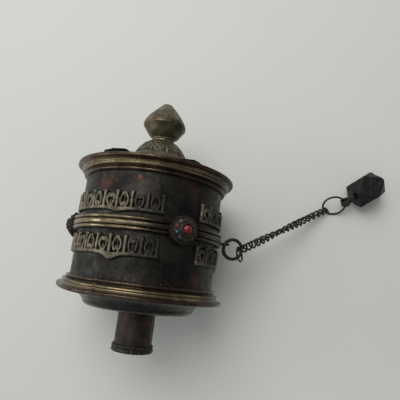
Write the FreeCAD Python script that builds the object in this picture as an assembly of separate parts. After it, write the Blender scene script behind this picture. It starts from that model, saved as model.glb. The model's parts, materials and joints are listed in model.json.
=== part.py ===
import FreeCAD, Part
import math
import os
from FreeCAD import Matrix, Placement, Rotation, Vector

# A hand prayer wheel without its wooden handle, lying on its side on a table.
# Millimetres. +Y runs along the spindle from the handle socket to the finial, +Z is up
# from the table, and the origin is the centre of the handle socket's mouth.
# Angles round the drum are counted from +Z towards +X.

# ---- driving dimensions: drum ----
WALL_R = 28.0            # outside of the copper drum wall
WALL_T = 0.7
RIM_R = 32.3             # lip of both flared rims, which the wheel lies on
BAND_R = 29.9            # crest of the middle band
BAND_Y = 43.5            # edge of the middle band nearest the socket
BAND_H = 4.9
LOWER_RIM_Y = 20.7       # lip end of the lower rim
UPPER_RIM_Y = 70.3       # lip end of the upper rim
RIM_H = 5.6
SHEET_T = 0.7            # rim, lid and pan sheet
INNER_FLOOR_Y = 24.4
HUB_R = 4.0              # outside of both bushes, and the hole they fill
FLOOR_Z = -RIM_R         # the table top

# ---- driving dimensions: spindle, socket and finial ----
ROD_R = 2.0
RUN_GAP = 0.05           # radial running clearance of the bushes
SOCKET_R = 6.5           # bore that the wooden handle is driven into
SOCKET_DEPTH = 11.0
PLUG_R = 6.0             # wooden plug above the bore, which the rod is driven through
FERRULE_R = 7.35
COLLAR_R = 8.15
FERRULE_TOP = 15.2
PAN_Y = 15.9             # outer face of the base pan
DOME_TOP = 85.8
DOME_R = 15.0
FINIAL_Y = 86.3
FINIAL_R = 9.2
TIP_Y = 103.5
ROD_END = 95.0

# ---- driving dimensions: ornament ----
FRIEZE_R = 29.5          # face of the ornament strips
FRIEZE_HALF_DEG = 46.0
FRIEZE_H = 7.6
UPPER_FRIEZE_Y = BAND_Y + 6.5
LOWER_FRIEZE_Y = BAND_Y - 8.9
PANEL_DEG = (-29.0, 91.0, 211.0)
BEZEL_DEG = (31.0, 151.0, 271.0)
LEAF_DEG = (-25.0, 36.0, 155.0, 216.0)
BEZEL_R = 5.3
STONE_R = 2.2
STONE_TOP = 34.5

# ---- driving dimensions: chain ----
EYE_RING_R = 4.02        # centre line radii and wire radii
EYE_WIRE_R = 0.72
JUMP_END_R = 1.8
JUMP_STRAIGHT = 3.3
LINK_COUNT = 18
LINK_WIRE_R = 0.4
LINK_END_R = 1.2
LINK_GAP = 0.06          # slack where one wire hooks round the next
END_GAP = 0.3            # slack of the last link, whose ring crosses it aslant
END_RING_R = 5.25
END_WIRE_R = 0.475
WEIGHT_SIZE = (14.9, 12.3, 12.8)         # along the shank, across it, and high
WEIGHT_CUT = 0.46        # share of each edge that a corner cut takes
COIL_WIRE_R = 0.55
COIL_R = 1.85
COIL_TURNS = 3

X_AXIS = Vector(1, 0, 0)
Y_AXIS = Vector(0, 1, 0)
Z_AXIS = Vector(0, 0, 1)


# ---- helpers ----
def turned(outline):
    """Solid of revolution about Y from an outline of (radius, y) points. A pair of points
    (middle, end) in place of a point is an arc to end through middle."""
    def vec(p):
        return Vector(p[0], p[1], 0)
    edges = []
    here = vec(outline[0])
    for step in outline[1:] + [outline[0]]:
        if isinstance(step[0], tuple):
            middle, end = vec(step[0]), vec(step[1])
            edges.append(Part.Arc(here, middle, end).toShape())
        else:
            end = vec(step)
            edges.append(Part.makeLine(here, end))
        here = end
    return Part.Face(Part.Wire(edges)).revolve(Vector(0, 0, 0), Y_AXIS, 360)


def tube(inner, outer, y0, y1):
    return turned([(inner, y0), (outer, y0), (outer, y1), (inner, y1)])


def disc(outer, y0, y1):
    return Part.makeCylinder(outer, y1 - y0, Vector(0, y0, 0), Y_AXIS)


def round_drum(shape, degrees):
    """Copy of a shape modelled at the top of the drum, turned towards +X."""
    copy = shape.copy()
    copy.rotate(Vector(0, 0, 0), Y_AXIS, degrees)
    return copy


def bearing(shape):
    """Angle of a shape's middle round Y, from +Z towards +X."""
    middle = shape.Solids[0].CenterOfMass
    return math.degrees(math.atan2(middle.x, middle.z))


def unit(v):
    return v * (1.0 / v.Length)


def framed(shape, centre, x_dir, y_dir):
    """Copy of a shape moved so that its own X and Y axes point along x_dir and y_dir."""
    x_dir = unit(x_dir)
    z_dir = unit(x_dir.cross(y_dir))
    y_dir = z_dir.cross(x_dir)
    matrix = Matrix(x_dir.x, y_dir.x, z_dir.x, centre.x,
                    x_dir.y, y_dir.y, z_dir.y, centre.y,
                    x_dir.z, y_dir.z, z_dir.z, centre.z,
                    0, 0, 0, 1)
    copy = shape.copy()
    copy.Placement = Placement(matrix).multiply(copy.Placement)
    return copy


def direction(azimuth, slope):
    """Unit vector at an azimuth from +X towards +Y and a slope above the horizontal."""
    level = math.cos(math.radians(slope))
    return Vector(level * math.cos(math.radians(azimuth)),
                  level * math.sin(math.radians(azimuth)), math.sin(math.radians(slope)))


nodes = {}


# ---- spindle body: what the hand holds still ----
def make_spindle():
    nodes["handle_ferrule"] = turned([
        (SOCKET_R, 0), (FERRULE_R, 0), (FERRULE_R, FERRULE_TOP), (PLUG_R, FERRULE_TOP),
        (PLUG_R, SOCKET_DEPTH), (SOCKET_R, SOCKET_DEPTH)])
    nodes["ferrule_collar"] = turned([
        (FERRULE_R, 0), (COLLAR_R - 0.4, 0), ((COLLAR_R, 0.7), (COLLAR_R - 0.4, 1.4)),
        ((COLLAR_R - 0.1, 2.0), (COLLAR_R - 0.45, 2.7)), (FERRULE_R, 2.9)])
    nodes["socket_plug"] = tube(ROD_R, PLUG_R, SOCKET_DEPTH, FERRULE_TOP)
    rod = disc(ROD_R, SOCKET_DEPTH, ROD_END)
    nodes["spindle_rod"] = rod.makeChamfer(0.5, [rod.Edges[0], rod.Edges[2]])
    nodes["lower_washer"] = tube(ROD_R, 6.2, FERRULE_TOP, PAN_Y - 0.1)
    nodes["upper_washer"] = tube(ROD_R, 4.4, DOME_TOP + 0.1, FINIAL_Y)
    nodes["finial"] = turned([
        (ROD_R, FINIAL_Y), (4.8, FINIAL_Y), ((4.65, FINIAL_Y + 0.5), (4.9, FINIAL_Y + 1.0)),
        ((7.85, 89.8), (FINIAL_R - 0.15, 92.9)), ((FINIAL_R, 93.6), (FINIAL_R - 0.25, 94.4)),
        ((6.0, 98.6), (2.7, TIP_Y - 1.3)), ((1.7, TIP_Y - 0.4), (0.4, TIP_Y)), (0, TIP_Y),
        (0, ROD_END), (ROD_R, ROD_END)])


# ---- drum body ----
def rim(lip_y, inward):
    """Flared rim: a bead against the wall, a cove and a rolled lip. inward is +1 when the
    drum lies towards +Y from the lip."""
    def at(radius, depth):
        return (radius, lip_y + inward * depth)
    return turned([
        at(WALL_R, RIM_H), at(WALL_R + 0.6, RIM_H),
        (at(WALL_R + 1.1, RIM_H - 0.55), at(WALL_R + 0.6, RIM_H - 1.1)),
        (at(WALL_R + 1.15, RIM_H - 2.6), at(WALL_R + 2.9, RIM_H - 3.7)),
        at(WALL_R + 3.3, RIM_H - 3.75), at(WALL_R + 3.3, 1.5),
        (at(RIM_R, 0.75), at(RIM_R - 0.75, 0.0)),
        at(WALL_R + 1.2, 0.5), at(WALL_R, 1.6)])


def make_shell():
    nodes["drum_wall"] = tube(WALL_R - WALL_T, WALL_R, LOWER_RIM_Y + 2.2, UPPER_RIM_Y - 1.8)
    nodes["lower_rim"] = rim(LOWER_RIM_Y, 1)
    nodes["upper_rim"] = rim(UPPER_RIM_Y, -1)
    lid_y = UPPER_RIM_Y - 1.6
    nodes["lid"] = tube(HUB_R, WALL_R, lid_y, lid_y + SHEET_T)
    dome_y = lid_y + SHEET_T
    nodes["lotus_dome"] = turned([
        (DOME_R, dome_y), (DOME_R, dome_y + 0.9), ((13.3, 75.6), (11.1, 80.2)),
        ((9.2, 83.2), (5.8, DOME_TOP - 0.4)), (5.0, DOME_TOP), (HUB_R, DOME_TOP), (HUB_R, 84.8),
        ((8.1, 82.6), (10.2, 79.6)), ((12.3, 75.2), (DOME_R - 0.9, dome_y + 0.9)),
        (DOME_R - 0.9, dome_y)])
    nodes["base_pan"] = turned([
        (HUB_R, PAN_Y), (19.0, PAN_Y), ((21.2, PAN_Y + 0.5), (22.0, PAN_Y + 1.9)),
        ((23.6, PAN_Y + 3.7), (27.0, LOWER_RIM_Y + 0.9)), (WALL_R, LOWER_RIM_Y + 1.6),
        (WALL_R - WALL_T, LOWER_RIM_Y + 2.2), (26.6, LOWER_RIM_Y + 1.6),
        ((23.0, PAN_Y + 4.4), (21.2, PAN_Y + 2.2)), ((20.5, PAN_Y + 1.1), (19.0, PAN_Y + SHEET_T)),
        (HUB_R, PAN_Y + SHEET_T)])
    nodes["centre_band"] = turned([
        (WALL_R, BAND_Y), (BAND_R - 0.5, BAND_Y), ((BAND_R, BAND_Y + 0.5), (BAND_R - 0.4, BAND_Y + 1.0)),
        ((BAND_R + 0.05, BAND_Y + 0.5 * BAND_H), (BAND_R - 0.4, BAND_Y + BAND_H - 1.0)),
        ((BAND_R, BAND_Y + BAND_H - 0.5), (BAND_R - 0.5, BAND_Y + BAND_H)), (WALL_R, BAND_Y + BAND_H)])


def make_leaves():
    """Four broad lotus leaves soldered to the lid, whose tips curl out over the rim's lip."""
    lid_top = UPPER_RIM_Y - 1.6 + SHEET_T
    inner, outer, widest, half = DOME_R + 0.5, 30.3, 26.6, 6.2
    sheet = turned([
        (inner - 1, lid_top), (inner + 1, lid_top), ((25.0, lid_top + 0.75), (outer + 1, lid_top + 2.2)),
        (outer + 1, lid_top + 2.9), ((25.0, lid_top + 1.45), (inner - 1, lid_top + 0.7))])
    below = lid_top - 1
    root = [Vector(-2.4, below, inner), Vector(2.4, below, inner)]
    tip = Vector(0, below, outer)
    left = Part.Arc(root[0], Vector(-half, below, widest - 1.5), tip).toShape()
    right = Part.Arc(tip, Vector(half, below, widest - 1.5), root[1]).toShape()
    outline = Part.Face(Part.Wire([left, right, Part.makeLine(root[1], root[0])]))
    leaf = outline.extrude(Y_AXIS * 6).common(sheet)
    nodes["lid_leaves"] = Part.makeCompound([round_drum(leaf, a) for a in LEAF_DEG])


def make_inside():
    floor_top = INNER_FLOOR_Y + SHEET_T
    bore_r = ROD_R + RUN_GAP
    collar_y = PAN_Y + SHEET_T
    nodes["inner_floor"] = tube(HUB_R, WALL_R - WALL_T, INNER_FLOOR_Y, floor_top)
    nodes["bottom_bush"] = turned([
        (bore_r, PAN_Y), (HUB_R, PAN_Y), (HUB_R, collar_y), (HUB_R + 2, collar_y),
        (HUB_R + 2, collar_y + 1), (HUB_R, collar_y + 1), (HUB_R, floor_top), (bore_r, floor_top)])
    top_bush_y = UPPER_RIM_Y - 3.0
    nodes["top_bush"] = tube(bore_r, HUB_R, top_bush_y, DOME_TOP)
    core_r, roll_r, wrap_r = 3.6, 25.6, 26.1
    nodes["core_tube"] = tube(2.8, core_r, floor_top, top_bush_y)
    nodes["prayer_scroll"] = tube(core_r, roll_r, floor_top + 0.3, top_bush_y - 0.8)
    nodes["scroll_wrap"] = tube(roll_r, wrap_r, floor_top + 0.3, top_bush_y - 0.8)


# ---- ornament on the drum ----
def shell_sector(inner, outer, y0, height, centre_deg, half_deg):
    """Piece of a round shell that spans half_deg each side of centre_deg."""
    corners = [Vector(0, y0, inner), Vector(0, y0, outer), Vector(0, y0 + height, outer),
               Vector(0, y0 + height, inner), Vector(0, y0, inner)]
    section = round_drum(Part.Face(Part.makePolygon(corners)), centre_deg - half_deg)
    return section.revolve(Vector(0, 0, 0), Y_AXIS, 2 * half_deg)


def frieze(pendant):
    """Pierced strip at the top of the drum, standing on y = 0: a foot rail, upright bars, ring
    and bud motifs between them, and a pointed pendant under the rail."""
    rail = 1.5
    bar_half = 1.25
    strip = shell_sector(WALL_R, FRIEZE_R, 0, rail, 0, FRIEZE_HALF_DEG)
    parts = []
    bars = 11
    for i in range(bars):
        at = -FRIEZE_HALF_DEG + bar_half + i * 2 * (FRIEZE_HALF_DEG - bar_half) / (bars - 1)
        parts.append(shell_sector(WALL_R, FRIEZE_R, rail * 0.5, FRIEZE_H - rail * 0.5, at, bar_half))
        if i == bars - 1:
            continue
        middle = at + (FRIEZE_HALF_DEG - bar_half) / (bars - 1)
        height = 3.3 if i % 2 else 5.3
        ring = Part.makeCylinder(1.75, 6.0, Vector(0, height, WALL_R - 2.0), Z_AXIS)
        if i % 3:
            ring = ring.cut(Part.makeCylinder(0.85, 6.0, Vector(0, height, WALL_R - 2.0), Z_AXIS))
        ring = ring.common(shell_sector(WALL_R, FRIEZE_R, 0, FRIEZE_H + 2, 0, 8.0))
        parts.append(round_drum(ring, middle))
    point = Part.makePolygon([Vector(-2.6, 0.4, WALL_R - 2), Vector(2.6, 0.4, WALL_R - 2),
                              Vector(0, -pendant, WALL_R - 2), Vector(-2.6, 0.4, WALL_R - 2)])
    point = Part.Face(point).extrude(Vector(0, 0, 6))
    point = point.common(shell_sector(WALL_R, FRIEZE_R, -pendant - 1, pendant + 3, 0, 8.0))
    parts.append(round_drum(point, 12.0))
    return strip.multiFuse(parts).removeSplitter()


def make_friezes():
    for row, y0, pendant in (("upper", UPPER_FRIEZE_Y, 0.9), ("lower", LOWER_FRIEZE_Y, 2.1)):
        strip = frieze(pendant)
        strip.translate(Vector(0, y0, 0))
        for i, at in enumerate(PANEL_DEG):
            nodes["frieze_%s_%d" % (row, i + 1)] = round_drum(strip, at)


def make_bezels():
    """Round rosette settings across the band: a plate, a ring of beads, a cup and a stone."""
    middle = Vector(0, BAND_Y + 0.5 * BAND_H, 0)
    plate_top = BAND_R + 0.9
    plate = Part.makeCylinder(BEZEL_R, plate_top - WALL_R, middle + Z_AXIS * WALL_R, Z_AXIS)
    plate = plate.cut(disc(BAND_R + 0.05, BAND_Y - 10, BAND_Y + 20))
    cup = Part.makeCone(STONE_R + 0.9, STONE_R + 0.5, 1.9, middle + Z_AXIS * (plate_top - 0.3), Z_AXIS)
    seat = Part.makeCylinder(STONE_R, 3.0, middle + Z_AXIS * (plate_top + 0.4), Z_AXIS)
    beads = []
    for i in range(9):
        turn = math.radians(40 * i + 14)
        offset = Vector(4.25 * math.cos(turn), 4.25 * math.sin(turn), plate_top + 0.1)
        beads.append(Part.makeSphere(0.85, middle + offset))
    bezel = plate.multiFuse(beads + [cup]).cut(seat).removeSplitter()
    crown = STONE_TOP - plate_top - 0.4
    stone = Part.makeCylinder(STONE_R, crown, middle + Z_AXIS * (plate_top + 0.4), Z_AXIS)
    stone = stone.makeFillet(1.5, [e for e in stone.Edges
                                   if e.Closed and e.CenterOfMass.z > STONE_TOP - 0.1])
    chips = []
    for x, y in ((-3.0, -2.0), (-3.2, 1.7)):
        base = middle + Vector(x, y, plate_top)
        chips.append(Part.makeSphere(0.75, base, Z_AXIS, 0, 90, 360).cut(bezel))
    for i, at in enumerate(BEZEL_DEG):
        nodes["bezel_%d" % (i + 1)] = round_drum(bezel, at)
        nodes["coral_%d" % (i + 1)] = round_drum(stone, at)
    nodes["side_stones"] = Part.makeCompound([round_drum(c, at) for at in BEZEL_DEG for c in chips])


# ---- chain: staple, eye ring, jump ring, links, end ring, weight ----
def place(x, y, z):
    """Point given from the band's edge nearest the socket."""
    return Vector(x, BAND_Y + y, z)


def oval_link(straight, end_r, wire_r):
    """Closed oval of round wire in its own XY plane, long along X."""
    half = 0.5 * straight
    pieces = []
    for side in (1, -1):
        bend = Part.makeTorus(end_r, wire_r, Vector(0, 0, 0), Z_AXIS, -180, 180, 180)
        bend.rotate(Vector(0, 0, 0), Z_AXIS, -90 if side > 0 else 90)
        bend.translate(Vector(side * half, 0, 0))
        pieces.append(bend)
        pieces.append(Part.makeCylinder(wire_r, straight, Vector(-half, side * end_r, 0), X_AXIS))
    return pieces[0].multiFuse(pieces[1:]).removeSplitter()


class Chain:
    """Where each piece of the chain lies and turns, worked out from a few hooked points."""

    staple_at = place(31.62, 1.97, -1.4)
    ring_out = direction(-25.0, -17.4)       # from the staple across the eye ring
    ring_side = direction(65.0, 0.0)
    ring_centre = staple_at + ring_out * EYE_RING_R
    jump_turn = math.radians(13.0)           # where the jump ring crosses the eye ring's wire
    ring_hook = ring_centre + (ring_out * math.cos(jump_turn)
                               - ring_side * math.sin(jump_turn)) * EYE_RING_R
    ring_hook_axis = unit(ring_out * math.sin(jump_turn) + ring_side * math.cos(jump_turn))
    jump_normal = unit(Vector(0.72, 0.35, 0.6))
    jump_long = unit(jump_normal.cross(unit(jump_normal.cross(Vector(-0.1, 0.9, -0.4)))))
    jump_wide = jump_normal.cross(jump_long)
    jump_centre = ring_hook - jump_long * 0.9 + jump_wide * 0.45
    start_turn = math.radians(52.0)          # where the first link hangs on the jump ring
    start_out = jump_wide * math.sin(start_turn) - jump_long * math.cos(start_turn)
    start_axis = unit(jump_long * math.sin(start_turn) + jump_wide * math.cos(start_turn))
    start = jump_centre - jump_long * (0.5 * JUMP_STRAIGHT) + start_out * JUMP_END_R
    last_link = place(80.6, 27.31, -30.3)
    along = unit(last_link - start)
    hook = 2 * LINK_WIRE_R + LINK_GAP        # wire centre to wire centre where links hook
    pitch = ((last_link - start).Length + 0.5 * hook) / (LINK_COUNT - 0.5)
    half = 0.5 * (pitch + hook)              # link centre to the wire centre of its end
    end_hook = last_link + along * (half - LINK_WIRE_R - END_WIRE_R - END_GAP)
    end_out = direction(35.0, 33.0)
    end_level = direction(125.0, 0.0)
    end_roll = math.radians(38.0)
    end_side = (end_level * math.cos(end_roll) + end_out.cross(end_level) * math.sin(end_roll))
    end_centre = end_hook + end_out * END_RING_R
    coil_turn = math.radians(17.0)
    coil_hook = end_centre + (end_out * math.cos(coil_turn)
                              - end_side * math.sin(coil_turn)) * END_RING_R
    coil_axis = unit(end_out * math.sin(coil_turn) + end_side * math.cos(coil_turn))
    shank = direction(38.0, 0.0)
    weight_z = FLOOR_Z + 0.5 * WEIGHT_SIZE[2]
    coil_centre = Vector(coil_hook.x, coil_hook.y, 0.5 * (coil_hook.z + weight_z)) + shank * 0.1
    weight_centre = Vector(coil_hook.x, coil_hook.y, weight_z) + shank * 12.2


def link_sides():
    """Width directions of the links. Each is a quarter turn and a little more from the last,
    so that the chain's slow twist takes up the difference between its two end rings."""
    first = unit(Chain.start_axis.cross(Chain.along))
    normal = Chain.along.cross(first)
    wanted = unit(Chain.end_side.cross(Chain.along))
    turn = math.atan2(wanted.dot(normal), wanted.dot(first)) - 0.5 * math.pi * (LINK_COUNT - 1)
    extra = (turn + 0.5 * math.pi) % math.pi - 0.5 * math.pi
    step = 0.5 * math.pi + extra / (LINK_COUNT - 1)
    return [first * math.cos(i * step) + normal * math.sin(i * step) for i in range(LINK_COUNT)]


def link_centre(i):
    return Chain.start + Chain.along * (Chain.half - Chain.hook + i * Chain.pitch)


def make_staple():
    """Wire staple standing on the band, across the eye ring's wire."""
    wire_r, bend_r = 0.45, 1.4
    at = Chain.staple_at
    bend = Part.makeTorus(bend_r, wire_r, Vector(0, 0, 0), Y_AXIS, -180, 180, 180)
    bend.rotate(Vector(0, 0, 0), Y_AXIS, 90 - bearing(bend))
    bend.translate(at)
    root = WALL_R - 0.4
    legs = []
    for side in (1, -1):
        foot = Vector(root, at.y, at.z + side * bend_r)
        legs.append(Part.makeCylinder(wire_r, at.x - root, foot, X_AXIS))
    staple = bend.multiFuse(legs)
    nodes["chain_staple"] = staple.cut([nodes["centre_band"], nodes["drum_wall"]])


def make_chain():
    eye = Part.makeTorus(EYE_RING_R, EYE_WIRE_R)
    nodes["eye_ring"] = framed(eye, Chain.ring_centre, Chain.ring_out, Chain.ring_side)
    jump = oval_link(JUMP_STRAIGHT, JUMP_END_R, LINK_WIRE_R)
    nodes["jump_ring"] = framed(jump, Chain.jump_centre, Chain.jump_long, Chain.jump_wide)
    link = oval_link(2 * (Chain.half - LINK_END_R), LINK_END_R, LINK_WIRE_R)
    for i, side in enumerate(link_sides()):
        nodes["link_%02d" % (i + 1)] = framed(link, link_centre(i), Chain.along, side)
    ring = Part.makeTorus(END_RING_R, END_WIRE_R)
    nodes["end_ring"] = framed(ring, Chain.end_centre, Chain.end_out, Chain.end_side)


def make_weight():
    """Iron block with its corners cut off, lying on one face, with a neck and a wire eye."""
    half = Vector(*WEIGHT_SIZE) * 0.5
    block = Part.makeBox(*WEIGHT_SIZE, half * -1)
    for sx in (1, -1):
        for sy in (1, -1):
            for sz in (1, -1):
                corner = Vector(sx * half.x, sy * half.y, sz * half.z)
                ends = [corner - Vector(sx * WEIGHT_SIZE[0] * WEIGHT_CUT, 0, 0),
                        corner - Vector(0, sy * WEIGHT_SIZE[1] * WEIGHT_CUT, 0),
                        corner - Vector(0, 0, sz * WEIGHT_SIZE[2] * WEIGHT_CUT)]
                face = Part.Face(Part.makePolygon(ends + [ends[0]]))
                block = block.cut(face.extrude(Vector(sx, sy, sz) * half.x))
    nodes["weight"] = framed(block, Chain.weight_centre, Chain.shank, Z_AXIS.cross(Chain.shank))
    level = Z_AXIS.cross(Chain.shank)
    roll = math.atan2(Chain.coil_axis.z, Chain.coil_axis.dot(level))
    axis = level * math.cos(roll) + Z_AXIS * math.sin(roll)
    turns = []
    for i in range(COIL_TURNS):
        at = Chain.coil_centre + axis * ((i - 0.5 * (COIL_TURNS - 1)) * 1.9 * COIL_WIRE_R)
        turns.append(Part.makeTorus(COIL_R, COIL_WIRE_R, at, axis))
    face = Chain.weight_centre - Chain.shank * half.x
    face.z = Chain.coil_centre.z
    neck_end = face - Chain.shank * 2.4
    neck = Part.makeCylinder(1.4, 2.4, neck_end, Chain.shank)
    neck = neck.cut(Part.makeCylinder(COIL_R, 20, Chain.coil_centre - axis * 10, axis))
    nodes["weight_eye"] = turns[0].multiFuse(turns[1:] + [neck])


make_spindle()
make_shell()
make_leaves()
make_inside()
make_friezes()
make_bezels()
make_staple()
make_chain()
make_weight()

os.makedirs("parts", exist_ok=True)
for name, shape in nodes.items():
    shape.exportStep("parts/%s.step" % name)
    print("%-16s solids %d valid %s volume %.1f" % (name, len(shape.Solids), shape.isValid(), shape.Volume))
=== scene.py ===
import json
import math

import bmesh
import bpy
import numpy as np
from mathutils import Matrix, Vector, noise


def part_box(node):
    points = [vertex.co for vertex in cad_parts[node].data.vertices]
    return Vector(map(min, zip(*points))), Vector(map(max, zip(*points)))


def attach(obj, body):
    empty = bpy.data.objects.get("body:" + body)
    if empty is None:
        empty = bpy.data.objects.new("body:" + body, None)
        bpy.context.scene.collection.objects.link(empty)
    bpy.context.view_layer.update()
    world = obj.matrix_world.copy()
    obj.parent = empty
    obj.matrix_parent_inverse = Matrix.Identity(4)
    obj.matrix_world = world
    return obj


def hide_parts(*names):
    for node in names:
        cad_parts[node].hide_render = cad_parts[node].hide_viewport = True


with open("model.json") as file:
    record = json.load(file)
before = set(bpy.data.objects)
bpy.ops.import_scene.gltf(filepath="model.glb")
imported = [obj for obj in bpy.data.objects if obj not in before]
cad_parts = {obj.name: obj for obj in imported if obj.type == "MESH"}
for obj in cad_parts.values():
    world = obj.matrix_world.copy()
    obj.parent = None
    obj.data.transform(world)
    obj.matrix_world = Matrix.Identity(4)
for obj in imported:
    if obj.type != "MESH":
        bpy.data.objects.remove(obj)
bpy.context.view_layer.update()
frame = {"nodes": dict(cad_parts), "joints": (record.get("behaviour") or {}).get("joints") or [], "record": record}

MM = 0.001

# ---- places and sizes read from the frame, in millimetres ----
def reach(node):
    """Largest distance of a round node from the spindle axis."""
    low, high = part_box(node)
    return max(high.x, -low.x) / MM


def along(node):
    """Where a node starts and ends along the spindle."""
    low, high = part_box(node)
    return low.y / MM, high.y / MM


def middle(node):
    """Centre of a node's box."""
    low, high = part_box(node)
    return (low + high) / (2 * MM)


def facing(node):
    """Angle round the drum of a node's centre, in degrees."""
    spot = middle(node)
    return math.degrees(math.atan2(spot.x, spot.z))


def swung(a, b, turn):
    """Where a gets to when it is swung towards b by an angle in radians."""
    return a * math.cos(turn) + b * math.sin(turn)


def turned(r, y, degrees):
    """Point at radius r and height y along the spindle, at an angle round it."""
    turn = math.radians(degrees)
    return Vector((r * math.sin(turn), y, r * math.cos(turn)))


FLOOR_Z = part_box("weight")[0].z / MM
WALL_R = reach("drum_wall")
SHEET = 0.7               # thickness of the drum's sheet
DRUM_STEPS = 288          # steps round the spindle in the drum's skins,
BAND_STEPS = 360          # in the ribbed band,
FINE_STEPS = 300          # in the petals and the collar,
SMALL_STEPS = 180         # and in the socket's tube


# ---- node materials ----
class Paint:
    """A metal or stone finish, built up from small steps. Lengths are millimetres."""

    def __init__(self, name, metallic=0.0, coat=0.0):
        self.material = bpy.data.materials.new(name)
        self.material.use_nodes = True
        self.tree = self.material.node_tree
        self.shader = self.tree.nodes["Principled BSDF"]
        self.shader.inputs["Metallic"].default_value = metallic
        self.shader.inputs["Coat Weight"].default_value = coat
        place = self.add("ShaderNodeTexCoord").outputs["Object"]
        scaled = self.add("ShaderNodeVectorMath", operation="SCALE")
        self.join(place, scaled.inputs[0])
        scaled.inputs["Scale"].default_value = 1 / MM
        self.place = scaled.outputs[0]
        self.normal = None

    def add(self, kind, **settings):
        """New node with the given settings."""
        node = self.tree.nodes.new(kind)
        for key, value in settings.items():
            setattr(node, key, value)
        return node

    def join(self, value, socket):
        """Links an output to a socket, or writes a plain value on it."""
        if isinstance(value, bpy.types.NodeSocket):
            self.tree.links.new(value, socket)
        elif hasattr(value, "__len__") and len(value) == 3 and len(socket.default_value) == 4:
            socket.default_value = (*value, 1)
        else:
            socket.default_value = value

    def math(self, operation, a, b=0.0, clamp=False):
        """One arithmetic step on values or outputs."""
        node = self.add("ShaderNodeMath", operation=operation, use_clamp=clamp)
        self.join(a, node.inputs[0])
        self.join(b, node.inputs[1])
        return node.outputs[0]

    def times(self, a, b, clamp=False):
        """Product of two values or outputs."""
        return self.math("MULTIPLY", a, b, clamp)

    def span(self, value, low, high, start=0.0, end=1.0):
        """value, carried smoothly from low..high to start..end."""
        node = self.add("ShaderNodeMapRange", interpolation_type="SMOOTHSTEP")
        for socket, number in zip(node.inputs, (value, low, high, start, end)):
            self.join(number, socket)
        return node.outputs[0]

    def noise(self, size, detail=4.0, rough=0.6, stretch=(1, 1, 1), warp=0.0, shift=0.0):
        """Cloudy 0..1 pattern whose blots are about size across."""
        mapping = self.add("ShaderNodeMapping")
        self.join(self.place, mapping.inputs["Vector"])
        mapping.inputs["Location"].default_value = (shift, shift, shift)
        mapping.inputs["Scale"].default_value = [1 / (size * s) for s in stretch]
        node = self.add("ShaderNodeTexNoise")
        self.join(mapping.outputs[0], node.inputs["Vector"])
        node.inputs["Scale"].default_value = 1
        node.inputs["Detail"].default_value = detail
        node.inputs["Roughness"].default_value = rough
        node.inputs["Distortion"].default_value = warp
        return node.outputs[0]

    def axes(self):
        """X, Y and Z of the point being painted."""
        split = self.add("ShaderNodeSeparateXYZ")
        self.join(self.place, split.inputs[0])
        return split.outputs

    def radius(self):
        """Distance from the spindle axis."""
        x, _, z = self.axes()
        return self.math("SQRT", self.math("ADD", self.times(x, x), self.times(z, z)))

    def ring(self, value, start, full, fade, end):
        """1 where value is between full and fade, 0 outside start..end."""
        return self.times(self.span(value, start, full), self.span(value, end, fade))

    def spot(self, at, inner, outer, ragged=0.0):
        """1 near a point in millimetres, 0 beyond outer, with a ragged edge."""
        node = self.add("ShaderNodeVectorMath", operation="DISTANCE")
        self.join(self.place, node.inputs[0])
        node.inputs[1].default_value = at
        away = node.outputs["Value"]
        if ragged:
            push = self.span(self.noise(2.2, 5, 0.7, shift=at[0]), 0.25, 0.75, -ragged, ragged)
            away = self.math("ADD", away, push)
        return self.span(away, outer, inner)

    def blend(self, share, a, b):
        """Colour a where share is 0, b where it is 1."""
        node = self.add("ShaderNodeMix", data_type="RGBA")
        self.join(share, node.inputs["Factor"])
        self.join(a, node.inputs[6])
        self.join(b, node.inputs[7])
        return node.outputs[2]

    def edges(self, low, high):
        """1 on worn corners, 0 elsewhere."""
        node = self.add("ShaderNodeNewGeometry")
        return self.span(node.outputs["Pointiness"], low, high)

    def raise_by(self, height, depth):
        """Adds relief of the given depth in millimetres to the surface."""
        node = self.add("ShaderNodeBump")
        node.inputs["Distance"].default_value = depth * MM
        node.inputs["Strength"].default_value = 1.0
        self.join(height, node.inputs["Height"])
        if self.normal is not None:
            self.join(self.normal, node.inputs["Normal"])
        self.normal = node.outputs[0]

    def done(self, colour, roughness):
        """The finished material."""
        self.join(colour, self.shader.inputs["Base Color"])
        self.join(roughness, self.shader.inputs["Roughness"])
        if self.normal is not None:
            self.join(self.normal, self.shader.inputs["Normal"])
        return self.material


def drum_point(degrees, y):
    """Point on the drum wall."""
    return turned(WALL_R, y, degrees)


# Bare copper on the drum: degrees round it, height, and radii of the red heart and of its edge.
COPPER_SPOTS = ((-31.8, 59.5, 0.6, 4.2), (-24.0, 61.5, 0.2, 2.4), (-3.0, 62.0, 0.1, 1.8),
                (38.8, 61.5, 0.3, 2.8), (49.2, 28.9, 0.8, 3.0), (140.0, 34.0, 0.5, 4.0),
                (205.0, 58.0, 0.5, 3.5), (255.0, 30.0, 0.3, 3.0))
COPPER_RED = (0.075, 0.030, 0.019)
DUST = (0.16, 0.115, 0.085)
PAINTED_SHADE = (0.010, 0.009, 0.008)
# Near-black for painted shade on the right-hand side of the drum and finial, where less light falls.
GILT = (0.24, 0.19, 0.105)
PINK = (0.11, 0.06, 0.042)


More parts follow.
